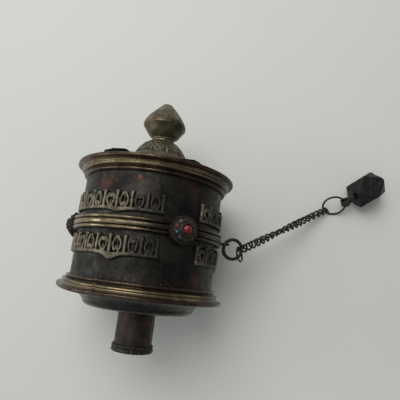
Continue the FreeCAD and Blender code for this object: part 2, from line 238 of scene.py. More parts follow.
def copper_patina():
    """Drum sheet: near-black oxide, brown where handled, with red copper spots and pale dust."""
    p = Paint("copper_patina", metallic=0.7)
    cloud = p.span(p.noise(9, 6, 0.62, warp=0.6), 0.36, 0.68)
    grain = p.span(p.noise(0.9, 5, 0.75, shift=23), 0.36, 0.64)
    share = p.math("ADD", p.times(cloud, 0.68), p.times(grain, 0.32))
    tone = p.blend(share, (0.006, 0.0058, 0.0052), (0.042, 0.038, 0.032))
    for degrees, y, inner, outer in COPPER_SPOTS:
        patch = p.times(p.spot(drum_point(degrees, y), inner, outer, 2.0), 0.7)
        tone = p.blend(patch, tone, COPPER_RED)
    rim_top = along("lower_rim")[1]
    foot = p.span(p.axes()[1], rim_top + 3.5, rim_top)
    dust = p.span(p.noise(0.5, 3, 0.7, shift=11), 0.67, 0.75)
    crust = p.times(foot, p.span(p.noise(0.9, 4, 0.7, shift=3), 0.56, 0.70))
    tone = p.blend(p.math("MAXIMUM", p.times(dust, 0.4), crust), tone, DUST)
    p.shader.inputs["Specular IOR Level"].default_value = 0.32
    p.raise_by(p.noise(3.2, 5, 0.6, shift=2), 0.14)
    p.raise_by(p.noise(0.5, 3, 0.6, shift=8), 0.04)
    return p.done(tone, p.span(p.noise(2.4, 4, 0.6, shift=17), 0.3, 0.7, 0.36, 0.55))


def worn_brass(name, bright, dark, grime_size=4.0, shift=0.0, shaded_r=None, unshaded_r=None,
               rough=(0.30, 0.55), relief=0.05, metallic=0.85, gilt=None, pinks=(), shade_spots=(),
               shade_depth=0.62):
    """Old brass or bronze: bright where rubbed, grime in between. What lies at shaded_r from the axis is
    darkened by painted shade, as in the recesses, and what stands at unshaded_r keeps its rubbed
    brightness. gilt is a ring of radii rubbed to yellow, pinks are spots where copper shows, and
    shade_spots are spots of painted shade."""
    p = Paint(name, metallic=metallic)
    cloud = p.span(p.noise(grime_size, 6, 0.65, warp=0.5, shift=shift), 0.34, 0.66)
    fine = p.span(p.noise(0.6, 4, 0.7, shift=shift + 3), 0.33, 0.66)
    share = p.math("ADD", p.times(cloud, 0.62), p.times(fine, 0.38))
    # Painted shade: darker towards the drum, in the recesses between raised parts, and a little lighter on the
    # crests.
    if unshaded_r is not None:
        share = p.times(share, p.span(p.radius(), shaded_r, unshaded_r, 0.0, 1.25), clamp=True)
    wear_and_shade = p.math("ADD", share, p.times(p.edges(0.515, 0.56), 0.5), clamp=True)
    tone = p.blend(wear_and_shade, dark, bright)
    if gilt:
        share = p.times(p.ring(p.radius(), *gilt), p.span(cloud, 0.0, 1.0, 0.45, 0.95))
        tone = p.blend(share, tone, GILT)
    for at, size in pinks:
        patch = p.times(p.spot(at, 0.2 * size, size, 0.4 * size), 0.7)
        tone = p.blend(patch, tone, PINK)
    # Painted shade: dark spots laid over the right-hand side of the drum and finial, where less light falls.
    for at, size in shade_spots:
        patch = p.times(p.spot(at, 0.45 * size, size, 0.12 * size), shade_depth)
        tone = p.blend(patch, tone, PAINTED_SHADE)
    p.raise_by(p.noise(1.4, 4, 0.6, shift=shift + 9), relief)
    p.raise_by(p.noise(0.35, 3, 0.6, shift=shift + 6), relief * 0.4)
    return p.done(tone, p.span(wear_and_shade, 0, 1, rough[1], rough[0]))


def dark_sheet():
    """Smoke-darkened sheet: dulled in patches, gently dented, with hair scratches and some dust."""
    p = Paint("dark_sheet", metallic=0.5)
    cloud = p.span(p.noise(7, 6, 0.65, warp=0.5, shift=13), 0.36, 0.64)
    tone = p.blend(cloud, (0.006, 0.007, 0.006), (0.021, 0.0225, 0.0185))
    brown = p.span(p.noise(4.5, 6, 0.7, warp=0.8, shift=31), 0.54, 0.66, 0.0, 0.7)
    tone = p.blend(brown, tone, (0.040, 0.026, 0.017))
    hairs = p.math("MAXIMUM", p.span(p.noise(0.5, 3, 0.5, stretch=(16, 9, 1), shift=5), 0.66, 0.72),
                   p.span(p.noise(0.5, 3, 0.5, stretch=(1, 9, 14), shift=19), 0.67, 0.73))
    tone = p.blend(p.times(hairs, 0.55), tone, (0.085, 0.075, 0.055))
    dust = p.span(p.noise(0.6, 4, 0.7, shift=41), 0.64, 0.76, 0.0, 0.4)
    tone = p.blend(dust, tone, (0.060, 0.055, 0.046))
    p.raise_by(p.noise(6.5, 3, 0.5, shift=7), 0.45)
    p.raise_by(p.noise(1.4, 4, 0.6, shift=22), 0.06)
    p.raise_by(hairs, 0.015)
    dull = p.math("ADD", p.times(cloud, 0.5), p.times(brown, 0.5))
    return p.done(tone, p.span(dull, 0, 0.8, 0.20, 0.42))


def black_iron():
    """Forged iron under a waxy black skin, with a little brown on it."""
    p = Paint("black_iron", metallic=0.35)
    cloud = p.span(p.noise(2.2, 5, 0.65), 0.36, 0.7)
    tone = p.blend(cloud, (0.004, 0.004, 0.004), (0.011, 0.0105, 0.0095))
    rust = p.times(p.span(p.noise(1.2, 4, 0.7, shift=4), 0.6, 0.75), 0.5)
    tone = p.blend(rust, tone, (0.028, 0.019, 0.013))
    tone = p.blend(p.times(p.edges(0.515, 0.57), 0.4), tone, (0.085, 0.083, 0.078))
    p.raise_by(p.noise(1.1, 5, 0.65, shift=2), 0.12)
    p.raise_by(p.noise(0.3, 3, 0.6, shift=8), 0.03)
    return p.done(tone, p.span(p.noise(1.3, 3, 0.5, shift=9), 0.3, 0.7, 0.40, 0.62))


def stone(name, colour, deep, rough=0.22, coat=0.4):
    """Polished stone with darker veins."""
    p = Paint(name, coat=coat)
    vein = p.span(p.noise(1.6, 5, 0.7, warp=1.2), 0.42, 0.62)
    p.raise_by(p.noise(0.8, 3, 0.5), 0.04)
    p.shader.inputs["Coat Roughness"].default_value = 0.15
    return p.done(p.blend(vein, colour, deep), rough)


def rolled_paper():
    """Paper in many tight turns, seen only when the drum is opened."""
    p = Paint("scroll_paper")
    turns_per_mm = 2.2
    turns = p.math("FRACT", p.times(p.radius(), turns_per_mm))
    tone = p.blend(p.span(turns, 0.0, 1.0), (0.42, 0.33, 0.20), (0.60, 0.50, 0.34))
    tone = p.blend(p.span(p.noise(5, 4, 0.6), 0.4, 0.7, 0.0, 0.4), tone, (0.30, 0.21, 0.12))
    p.raise_by(turns, 0.12)
    return p.done(tone, 0.85)


def woven_cloth():
    """Plain-woven cotton wrap, threads about a third of a millimetre apart."""
    p = Paint("wrap_cloth")
    x, y, z = p.axes()
    roll_r, threads_per_mm = 26, 3
    angle = p.math("ARCTAN2", x, z)
    across = p.math("SINE", p.times(angle, roll_r * math.pi * threads_per_mm))
    up = p.math("SINE", p.times(y, math.pi * threads_per_mm))
    weave = p.times(across, up)
    tone = p.blend(p.span(weave, -1, 1), (0.30, 0.06, 0.035), (0.45, 0.11, 0.05))
    tone = p.blend(p.span(p.noise(6, 4, 0.6), 0.45, 0.7, 0.0, 0.5), tone, (0.18, 0.05, 0.035))
    p.raise_by(weave, 0.08)
    return p.done(tone, 0.9)


# The dark spots given to these finishes are painted shade on the right-hand side of the drum and finial. The
# frieze and bezel metals are also darker near the drum, by painted shade in their recesses.
FINISHES = {
    "patinated_copper": copper_patina(),
    "rim_bronze": worn_brass(
        "rim_bronze", (0.112, 0.074, 0.048), (0.024, 0.016, 0.011), 5.0, 1.0, rough=(0.22, 0.40),
        gilt=(WALL_R + 1.4, WALL_R + 1.7, WALL_R + 2.3, WALL_R + 2.6),
        shade_spots=((drum_point(75, 25), 22.0), (drum_point(70, 68), 20.0))),
    "frieze_brass": worn_brass(
        "frieze_brass", (0.200, 0.172, 0.112), (0.011, 0.010, 0.008), 3.0, 2.0,
        WALL_R + 0.45, WALL_R + 1.15, rough=(0.40, 0.62), relief=0.10, metallic=0.5, shade_depth=0.86,
        shade_spots=((drum_point(11, 52), 13.0), (drum_point(10, 36), 11.5), (drum_point(74, 44), 21.0))),
    "finial_brass": worn_brass(
        "finial_brass", (0.215, 0.185, 0.115), (0.042, 0.034, 0.021), 3.0, 5.0, rough=(0.36, 0.5),
        relief=0.10, metallic=0.7, pinks=(((-2.6, 93.6, 8.8), 3.2),), shade_spots=(((8.0, 91.0, 5.0), 5.0),)),
    "bezel_brass": worn_brass(
        "bezel_brass", (0.032, 0.023, 0.017), (0.007, 0.005, 0.004), 2.0, 7.0,
        WALL_R + 1.6, WALL_R + 5.2, rough=(0.36, 0.55), metallic=0.4),
    "red_coral": stone("red_coral", (0.20, 0.002, 0.006), (0.075, 0.001, 0.003), 0.32, 0.12),
    "turquoise": stone("turquoise", (0.035, 0.13, 0.11), (0.012, 0.05, 0.045)),
    "scroll_paper": rolled_paper(),
    "wrap_cloth": woven_cloth(),
    "bearing_bronze": worn_brass("bearing_bronze", (0.40, 0.28, 0.13), (0.12, 0.08, 0.04), 3.0, 11.0),
    "dark_sheet": dark_sheet(),
    "spindle_steel": worn_brass("spindle_steel", (0.32, 0.31, 0.30), (0.10, 0.09, 0.08), 3.0, 15.0),
    "black_iron": black_iron(),
}
# Pieces whose metal differs a little from the rest of their slot.
# The dark spots on the lower rim and the band are painted shade on the drum's right-hand side. The band is also
# darkened in its grooves by painted shade.
LOWER_RIM_METAL = worn_brass(
    "lower_rim_bronze", (0.098, 0.070, 0.050), (0.024, 0.016, 0.012), 5.0, 4.0, rough=(0.20, 0.38),
    gilt=(WALL_R + 1.5, WALL_R + 1.8, WALL_R + 2.5, WALL_R + 2.9), shade_spots=((drum_point(80, 25), 20.0),))
BAND_METAL = worn_brass(
    "band_brass", (0.27, 0.215, 0.125), (0.060, 0.046, 0.030), 6.0, 17.0, 29.2, 29.75,
    rough=(0.22, 0.40), shade_depth=0.8, shade_spots=((drum_point(23, 46), 17.0), (drum_point(62, 46), 27.0)))
DOME_METAL = worn_brass(
    "dome_brass", (0.200, 0.175, 0.120), (0.030, 0.026, 0.020), 2.0, 19.0, rough=(0.4, 0.6),
    relief=0.10, metallic=0.7)
FERRULE_METAL = worn_brass(
    "ferrule_copper", (0.056, 0.036, 0.024), (0.007, 0.005, 0.004), 4.0, 21.0, rough=(0.34, 0.52),
    metallic=0.5)
COLLAR_METAL = worn_brass(
    "collar_iron", (0.032, 0.030, 0.022), (0.006, 0.006, 0.005), 1.5, 23.0, rough=(0.40, 0.6),
    metallic=0.4)
BROWN_CORAL = stone("brown_coral", (0.095, 0.022, 0.018), (0.035, 0.010, 0.009), 0.35, 0.1)
SIDE_STONES = [stone("chip_pearl", (0.11, 0.11, 0.09), (0.05, 0.05, 0.04)),
               stone("chip_amber", (0.16, 0.045, 0.018), (0.07, 0.02, 0.008)),
               FINISHES["turquoise"],
               stone("chip_lapis", (0.030, 0.022, 0.050), (0.012, 0.010, 0.022))]


def finish_cad_nodes():
    """Gives each carried-over CAD node the finish of its material slot."""
    slots = {row["node"]: row["material_slot"] for row in frame["record"]["subparts"]}
    for name, piece in frame["nodes"].items():
        for holder in piece.material_slots:
            holder.material = FINISHES[slots[name]]


# ---- mesh helpers, in millimetres ----
def placed(name, data):
    """New object in the scene."""
    thing = bpy.data.objects.new(name, data)
    bpy.context.scene.collection.objects.link(thing)
    return thing


def make_piece(name, body, slot, replaced, mesh, sharp=35.0, material=None):
    """Turns a bmesh in millimetres into a finished piece that rides on a body."""
    bmesh.ops.recalc_face_normals(mesh, faces=mesh.faces[:])
    bmesh.ops.scale(mesh, vec=(MM, MM, MM), verts=mesh.verts[:])
    data = bpy.data.meshes.new(name)
    mesh.to_mesh(data)
    mesh.free()
    data.materials.append(material or FINISHES[slot])
    data.polygons.foreach_set("use_smooth", [True] * len(data.polygons))
    data.set_sharp_from_angle(angle=math.radians(sharp))
    piece = placed(name, data)
    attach(piece, body)
    if replaced:
        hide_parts(*replaced)


def grid_mesh(rows, close_rows=True, close_columns=True, caps=False):
    """Skin over rows of points. Rows and columns may close on themselves."""
    mesh = bmesh.new()
    verts = [[mesh.verts.new(p) for p in row] for row in rows]
    high, wide = len(rows), len(rows[0])
    for i in range(high if close_rows else high - 1):
        for j in range(wide if close_columns else wide - 1):
            mesh.faces.new((verts[i][j], verts[i][(j + 1) % wide],
                            verts[(i + 1) % high][(j + 1) % wide], verts[(i + 1) % high][j]))
    if caps:
        mesh.faces.new(verts[0])
        mesh.faces.new(verts[-1])
    return mesh


def softened(points, rounds=2, closed=True):
    """Corner-cut copy of an outline: long runs stay, corners turn into small curves."""
    for _ in range(rounds):
        cut = []
        count = len(points)
        for i in range(count if closed else count - 1):
            a, b = Vector(points[i]), Vector(points[(i + 1) % count])
            cut += [a.lerp(b, 0.25), a.lerp(b, 0.75)]
        if not closed:
            cut = [Vector(points[0])] + cut + [Vector(points[-1])]
        points = cut
    return [Vector(p) for p in points]


def lathe(outline, segments, shape=None):
    """Skin turned about the spindle from a closed outline of (radius, y). shape takes radius, y
    and the angle in degrees and returns radius and y."""
    rows = []
    for i in range(segments):
        degrees = 360.0 * i / segments
        row = []
        for r, y in outline:
            if shape:
                r, y = shape(r, y, degrees)
            row.append(turned(r, y, degrees))
        rows.append(row)
    return grid_mesh(rows)


def capped_lathe(profile, segments, shape=None):
    """Skin turned about the spindle from an open profile that starts and ends on it."""
    mesh = bmesh.new()
    ends = [mesh.verts.new((0, profile[k][1], 0)) for k in (0, -1)]
    rings = []
    for r0, y0 in profile[1:-1]:
        ring = []
        for i in range(segments):
            degrees = 360.0 * i / segments
            r, y = shape(r0, y0, degrees) if shape else (r0, y0)
            ring.append(mesh.verts.new(turned(r, y, degrees)))
        rings.append(ring)
    for i in range(segments):
        k = (i + 1) % segments
        mesh.faces.new((ends[0], rings[0][i], rings[0][k]))
        mesh.faces.new((ends[1], rings[-1][k], rings[-1][i]))
        for a, b in zip(rings, rings[1:]):
            mesh.faces.new((a[i], b[i], b[k], a[k]))
    return mesh


def swept(path, radius, closed=False, sides=14, lumps=0.0):
    """Round wire along a path. radius is a number or a function of 0..1 along it, and lumps is
    the height of hammer marks. A closed path's last section is turned to meet its first."""
    points = [Vector(p) for p in path]
    count = len(points)
    rows = []
    tangent = (points[1] - points[-1 if closed else 0]).normalized()
    normal = tangent.orthogonal().normalized()
    frames = []
    for i in range(count):
        ahead = points[(i + 1) % count] if closed or i + 1 < count else points[i]
        behind = points[i - 1] if closed or i else points[i]
        tangent = (ahead - behind).normalized()
        normal = (normal - tangent * normal.dot(tangent)).normalized()
        frames.append((tangent, normal))
    slip = 0.0
    if closed:
        tangent, first = frames[0]
        last = (normal - tangent * normal.dot(tangent)).normalized()
        slip = math.atan2(last.cross(first).dot(tangent), last.dot(first))
    for i, (tangent, normal) in enumerate(frames):
        share = i / (count if closed else count - 1)
        side = tangent.cross(normal)
        size = radius(share) if callable(radius) else radius
        row = []
        for k in range(sides):
            turn = 2 * math.pi * k / sides + slip * share
            out = swung(normal, side, turn)
            spot = points[i] + out * size
            row.append(spot + out * (lumps * noise.noise(spot * 1.3)))
        rows.append(row)
    return grid_mesh(rows, close_rows=closed, caps=not closed)


def merged(meshes):
    """One bmesh that holds several."""
    whole = bmesh.new()
    for mesh in meshes:
        data = bpy.data.meshes.new("part")
        mesh.to_mesh(data)
        mesh.free()
        whole.from_mesh(data)
        bpy.data.meshes.remove(data)
    return whole


def fused(meshes, voxel, smooth=3):
    """Several overlapping closed skins melted into one, like a casting."""
    whole = merged(meshes)
    bmesh.ops.recalc_face_normals(whole, faces=whole.faces[:])
    data = bpy.data.meshes.new("casting")
    whole.to_mesh(data)
    whole.free()
    rough = placed("casting", data)
    remesh = rough.modifiers.new("remesh", "REMESH")
    remesh.mode = "VOXEL"
    remesh.voxel_size = voxel
    relax = rough.modifiers.new("relax", "SMOOTH")
    relax.iterations = smooth
    graph = bpy.context.evaluated_depsgraph_get()
    cast = bpy.data.meshes.new_from_object(rough.evaluated_get(graph))
    bpy.data.objects.remove(rough)
    bpy.data.meshes.remove(data)
    mesh = bmesh.new()
    mesh.from_mesh(cast)
    bpy.data.meshes.remove(cast)
    return mesh


def moved(mesh, matrix):
    """The mesh itself, carried by a matrix."""
    bmesh.ops.transform(mesh, matrix=matrix, verts=mesh.verts[:])
    return mesh


def lump(centre, sizes):
    """Ellipsoid of the given half sizes."""
    mesh = bmesh.new()
    bmesh.ops.create_icosphere(mesh, subdivisions=2, radius=1.0)
    return moved(mesh, Matrix.Translation(centre) @ Matrix.Diagonal((*sizes, 1)))


def wrinkle(mesh, depth, size, seed=0.0):
    """Small cast unevenness along the normals."""
    mesh.normal_update()
    for v in mesh.verts:
        v.co += v.normal * (depth * noise.noise(v.co / size + Vector((seed, 0, seed))))


def around(mesh, degrees):
    """Turns a mesh about the spindle."""
    return moved(mesh, Matrix.Rotation(math.radians(degrees), 4, "Y"))


# ---- drum ----
def near(degrees, centre, width):
    """1 at an angle round the drum, fading smoothly to 0 at width from it."""
    away = abs((degrees - centre + 180) % 360 - 180) / width
    return (1 - min(away, 1.0)) ** 2 * (1 + 2 * min(away, 1.0))


RIM_SEAM_DEG = -22.0     # solder seam in both rims
RIM_SEAM_HALF = 2.4      # degrees to each side of it
RIM_LIFT_DEG = -97.0     # where the lower rim was bent up towards the drum
RIM_LIFT_HALF = 70       # degrees to each side of it
RIM_LIFT = 1.9           # height of that bend


def make_rims():
    """Spun rims: a band of small ridges on the drum that flares out to a thin lip."""
    lip_r = reach("lower_rim")
    for name, inward in (("lower_rim", 1), ("upper_rim", -1)):
        low, high = along(name)
        lip_y = low if inward > 0 else high
        depth = high - low
        wide = lip_r - WALL_R
        ridge = 2.5 if inward > 0 else 2.3
        crests = [(-0.3, depth), (0.7, depth), (1.25, depth - 0.25), (1.3, depth - 0.9),
                  (0.85, depth - 1.35), (0.75, depth - 1.6), (1.1, depth - 1.75),
                  (ridge - 0.35, depth - 1.95), (ridge, depth - 2.35), (ridge, depth - 2.75),
                  (ridge - 0.25, depth - 3.0), (ridge - 0.2, depth - 3.3), (ridge + 0.3, depth - 3.85),
                  (3.1, 1.45), (4.0, 1.45), (wide, 1.15), (wide, 0.4), (wide - 0.4, 0.0),
                  (2.2, 0.25), (1.2, 0.6), (-0.3, 1.7)]
        outline = [(WALL_R + p.x, p.y) for p in softened(crests, 2)]

        def shape(r, d, degrees):
            ripple = 0.09 * noise.noise(Vector((degrees / 17.0, d * 0.4, 3.0 * inward)))
            seam = near(degrees, RIM_SEAM_DEG, RIM_SEAM_HALF)
            out = (r - WALL_R) / wide
            r += ripple * out + 0.30 * seam * (1 - out)
            if inward > 0:
                d += RIM_LIFT * near(degrees, RIM_LIFT_DEG, RIM_LIFT_HALF) * min(1.0, out * 1.4)
                d += 0.25 * seam
            return min(r, lip_r), lip_y + inward * d
        make_piece(name + "_skin", "drum", "rim_bronze", [name], lathe(outline, DRUM_STEPS, shape),
                   material=LOWER_RIM_METAL if inward > 0 else None)


WALL_JOINT_DEG = 178      # where the drum sheet meets itself
WALL_JOINT_HALF = 1.6     # degrees to each side of the joint's groove


def make_wall():
    """Drum sheet with shallow dents and, at the back, the groove where it was joined."""
    low, high = along("drum_wall")
    steps = 40
    outer = [(WALL_R, low + (high - low) * i / steps) for i in range(steps + 1)]
    inner = [(WALL_R - SHEET, y) for _, y in reversed(outer)]

    def shape(r, y, degrees):
        if r > WALL_R - 0.1:
            spot = turned(r, y, degrees)
            r += 0.13 * noise.noise(spot / 9.0) + 0.03 * noise.noise(spot / 2.6)
            r -= 0.10 * near(degrees, WALL_JOINT_DEG, WALL_JOINT_HALF)
        return r, y
    make_piece("drum_wall_sheet", "drum", "patinated_copper", ["drum_wall"],
               lathe(outer + inner, DRUM_STEPS, shape))


def make_band():
    """Band round the drum's middle, with a broad rib between two narrow ones."""
    low, high = along("centre_band")
    crest = reach("centre_band")
    mid = 0.5 * (low + high)
    ribs = [(WALL_R - 0.2, low), (crest - 0.6, low)]
    for centre, half, drop in ((low + 0.65, 0.62, 0.0), (mid, 1.05, 0.05), (high - 0.65, 0.62, 0.0)):
        shoulder = crest - 0.1 - drop
        ribs += [(crest - 0.75, centre - half), (shoulder, centre - 0.7 * half), (crest - drop, centre),
                 (shoulder, centre + 0.7 * half), (crest - 0.75, centre + half)]
    ribs += [(crest - 0.6, high), (WALL_R - 0.2, high)]
    outline = softened(ribs, 2)

    def shape(r, y, degrees):
        wobble = noise.noise(Vector((degrees / 12.0, y * 0.3, 0.0)))
        dent = noise.noise(Vector((degrees / 3.0, y * 0.8, 5.0)))
        if r > WALL_R + 0.5:
            r = min(r + 0.06 * wobble + 0.05 * dent, crest)
        return r, y + 0.06 * wobble
    make_piece("centre_band_ribbed", "drum", "rim_bronze", ["centre_band"],
               lathe(outline, BAND_STEPS, shape), material=BAND_METAL)


def stroke(points, width, top=1.3, taper=0.0):
    """Raised ribbon with a rounded back, along points in strip coordinates."""
    path = softened([(*p, 0) for p in points], 3, closed=False)
    mesh = swept(path, lambda t: width * (1 - taper * t), sides=12)
    for v in mesh.verts:
        v.co.z = v.co.z / width * top
    return mesh


FRIEZE_HEIGHT = 7.5
FRIEZE_HALF_DEG = 45.3      # half the angle that a strip spans
FRIEZE_RELIEF = 1.3         # how far it stands out
PENDANT_DEG = 12            # place of the pendant from the middle of a strip
REEDS = 9
SCROLL = [(0.2, 1.0), (0.9, 2.0), (1.45, 3.4), (1.35, 5.0), (0.75, 5.9), (0.15, 5.3), (0.45, 4.4)]
SPEAR = [(0.0, 0.9), (0.0, 2.4), (0.0, 3.9)]


def frieze_strip(half, height, pendant_at, pendant):
    """Pierced ornament, flat: a foot rail with a pointed pendant, upright reeds with bud tips,
    and between them mirrored pairs of scrolls round a spear, every second set upside down."""
    rail = 0.85
    drop = [(-half, rail), (pendant_at - 4.8, rail), (pendant_at - 2.4, rail - 0.3 * pendant),
            (pendant_at, rail - pendant), (pendant_at + 2.4, rail - 0.3 * pendant),
            (pendant_at + 4.8, rail), (half, rail)]
    parts = [stroke(drop, 0.85, 1.5),
             stroke([(pendant_at - 3.4, rail + 0.1), (pendant_at, rail - 0.45 * pendant),
                     (pendant_at + 3.4, rail + 0.1)], 0.8, 1.5)]
    pitch = 2 * (half - 0.8) / (REEDS - 1)
    for i in range(REEDS):
        u = -half + 0.8 + i * pitch
        lean = 0.18 * math.sin(2.1 * i)
        parts.append(stroke([(u, 0.7), (u + 0.2 * lean, 3.2), (u + lean, height - 0.9)], 0.72, 1.6, 0.06))
        parts.append(lump((u + lean, height - 0.85, 0.2), (0.92, 0.85, 1.3)))
        if i == REEDS - 1:
            break
        mid = u + 0.5 * pitch + 0.1 * math.sin(3.7 * i)
        for side, curve, width, taper in ((-1, SCROLL, 0.56, 0.15), (1, SCROLL, 0.56, 0.15),
                                          (1, SPEAR, 0.55, 0.6)):
            line = [(mid + side * a, height - b if i % 2 else b) for a, b in curve]
            parts.append(stroke(line, width, 1.5, taper))
    return parts


def make_friezes():
    """Two rows of three equal strips, bent round the drum."""
    arc = WALL_R + 0.75
    half, pendant_at = math.radians(FRIEZE_HALF_DEG) * arc, math.radians(PENDANT_DEG) * arc
    for row, pendant in (("upper", 1.0), ("lower", 2.2)):
        foot = along("frieze_%s_1" % row)[1] - FRIEZE_HEIGHT - 0.1
        strip = fused(frieze_strip(half, FRIEZE_HEIGHT, pendant_at, pendant), 0.17, 3)
        wrinkle(strip, 0.14, 0.8)
        for v in strip.verts:
            r = WALL_R - 0.15 + min(max(v.co.z, 0.0), FRIEZE_RELIEF)
            v.co = turned(r, foot + v.co.y, math.degrees(v.co.x / arc))
        for i in range(3):
            node = "frieze_%s_%d" % (row, i + 1)
            panel = around(strip.copy(), facing(node))
            make_piece(node + "_relief", "drum", "frieze_brass", [node], panel, sharp=80)
        strip.free()


PETALS = 10


def make_dome():
    """Repousse lotus boss: two rows of petals and a neck, beaten from thin brass."""
    low, high = along("lotus_dome")
    foot_r = reach("lotus_dome")
    outer = [(foot_r, low), (foot_r, low + 0.9), (14.2, low + 3.3), (12.6, low + 7.0),
             (10.7, high - 5.6), (9.2, high - 3.4), (7.8, high - 1.7), (5.8, high - 0.4), (5.0, high),
             (4.0, high)]
    inner = [(4.0, high - 1.0), (8.1, high - 3.2), (10.2, high - 6.2), (12.3, high - 10.6),
             (foot_r - 0.9, low + 0.9), (foot_r - 0.9, low)]
    profile = softened(outer + inner, 2)
    dense = []
    for a, b in zip(profile, profile[1:] + profile[:1]):
        steps = max(1, int((b - a).length / 0.25))
        dense += [a.lerp(b, k / steps) for k in range(steps)]
    crease = 0.62 * (high - low)

    def shape(r, y, degrees):
        up = y - low
        skin = r > 4.7 and up > 0.7 and r > foot_r + 0.2 - 0.28 * up - 0.022 * up * up
        if skin:
            row = 0 if up < crease else 1
            within = up / crease if row == 0 else (up - crease) / (high - low - crease)
            across = ((degrees * PETALS / 360.0 + 0.5 * row) % 1) * 2 - 1
            edge = 1 - abs(across) ** 2.2 - within ** 3
            r -= 0.42 * (1 - max(min(edge * 2.5, 1.0), 0.0))                # groove round each petal
            r -= 0.20 * math.exp(-(across * 7) ** 2)                        # its middle vein
            r -= 0.16 * (1 + math.sin(11 * across + 16 * within)) * max(1 - abs(across), 0)
            r -= 0.12 * abs(noise.noise(turned(r, y, degrees) * 1.2))       # hammer marks
        return r, y
    make_piece("lotus_dome_beaten", "drum", "finial_brass", ["lotus_dome"],
               lathe(dense, FINE_STEPS, shape), sharp=60, material=DOME_METAL)


def make_finial():
    """Turned bulb with a worn edge round its widest part, and a blunt tip."""
    low, high = along("finial")
    wide = reach("finial")
    profile = softened([(0, low), (4.7, low), (4.7, low + 0.9), (6.4, low + 2.1), (wide - 0.9, low + 5.1),
                        (wide + 0.1, low + 6.3), (wide, low + 6.75), (wide - 0.3, low + 6.85),
                        (wide - 0.05, low + 6.95), (wide, low + 7.5), (7.4, low + 10.7), (5.3, low + 13.2),
                        (3.1, high - 1.4), (1.9, high - 0.15), (0.8, high), (0, high)], 3, closed=False)

    def shape(r, y, degrees):
        spot = turned(r, y, degrees)
        dents = 0.28 * noise.noise(spot / 6.5 + Vector((4, 1, 7))) + 0.05 * noise.noise(spot / 1.7)
        return min(r + min(r / 4, 1) * dents, wide), y
    make_piece("finial_bulb", "spindle", "finial_brass", ["finial"],
               capped_lathe(profile, 160, shape))


LEAF_ROOT_R, LEAF_TIP_R, LEAF_HALF = 15.5, 30.3, 5.5
LEAF_STEPS, LEAF_COLUMNS = 28, 16
LEAVES = ((-26.0, 14.0, 2.9), (31.5, 5.0, 2.4), (155.0, 2.4, 2.3), (216.0, 3.0, 2.5))


def leaf_row(t, top, base_y, at, blunt, curl):
    """Points across a leaf at t, 0 at its root and 1 at its tip, on its top or its underside."""
    belly = math.sin(0.5 * math.pi * min(0.25 + 1.2 * t, 1.0))
    point = max(0.0, 1 - max(0.0, (t - 0.6) / 0.4) ** blunt) ** 0.8
    half = max(LEAF_HALF * belly * point, 0.05)
    row = []
    for k in range(LEAF_COLUMNS + 1):
        across = 2 * k / LEAF_COLUMNS - 1
        y = base_y + (curl - 0.5) * t ** 2.1 + 0.16 * noise.noise(Vector((across * 2, t * 4, at)))
        if top:
            y += 0.62 - 0.27 * t + 0.11 * math.cos(across * 9) * (1 - t)
        r = LEAF_ROOT_R + (LEAF_TIP_R - LEAF_ROOT_R) * t
        row.append((half * across, y, r - 0.2 * across * across))
    return row


def make_leaves():
    """Lotus leaves cut from sheet and curled by hand, one with a blunt, lifted tip. Each has an
    angle round the lid, a bluntness and a curl."""
    base_y = along("lid")[1]
    meshes = []
    for leaf in LEAVES:
        rows = [leaf_row(i / LEAF_STEPS, True, base_y, *leaf) for i in range(LEAF_STEPS + 1)]
        rows += [leaf_row(1 - i / LEAF_STEPS, False, base_y, *leaf) for i in range(LEAF_STEPS + 1)]
        mesh = grid_mesh(rows, close_rows=True, close_columns=False)
        bmesh.ops.holes_fill(mesh, edges=mesh.edges[:], sides=0)
        meshes.append(around(mesh, leaf[0]))
    make_piece("lid_leaves_curled", "drum", "dark_sheet", ["lid_leaves"], merged(meshes), sharp=40)


def bezel_frame(mesh, degrees):
    """Carries a bezel built upright at x, y = 0 round the drum to its place on the band."""
    return around(moved(mesh, Matrix.Translation((0, middle("centre_band").y, 0))), degrees)


def ball(centre, radius, flat=1.0):
    """Grain, flattened along Z."""
    return lump(centre, (radius, radius, radius * flat))


def circle_point(radius, share, z):
    """Point on a circle about Z, at a share of its round."""
    turn = 2 * math.pi * share
    return Vector((radius * math.cos(turn), radius * math.sin(turn), z))


def disc_ring(radius, wire, z, count):
    """Wire ring at height z."""
    path = [circle_point(radius, i / count, z) for i in range(count)]
    return swept(path, wire, closed=True, sides=10)


def reach_along(node, degrees):
    """How far a node stands out from the axis at an angle round the drum."""
    way = turned(1, 0, degrees)
    return max(v.co.dot(way) for v in frame["nodes"][node].data.vertices) / MM


def capped_turn(profile, segments):
    """Skin turned about Z from an open profile of (radius, height)."""
    return moved(capped_lathe(profile, segments), Matrix.Rotation(math.radians(90), 4, "X"))


# Rosettes: grains round the foot, cells, grains of the collar, and which cell holds which stone.
BEADS, CELLS, COLLAR = 30, 10, 14
CHIPS = {3: 0, 4: 1, 5: 2, 6: 3}
BEAD_R, CELL_R, COLLAR_R = 4.75, 3.45, 2.1
CELL_LEAN = 0.5           # radians that each cell leans outwards


def cell_point(k, lift, height):
    """Middle of cell k, at a share of the rosette's lift off the drum."""
    return circle_point(CELL_R, (k + 0.6) / CELLS, WALL_R + height * lift)


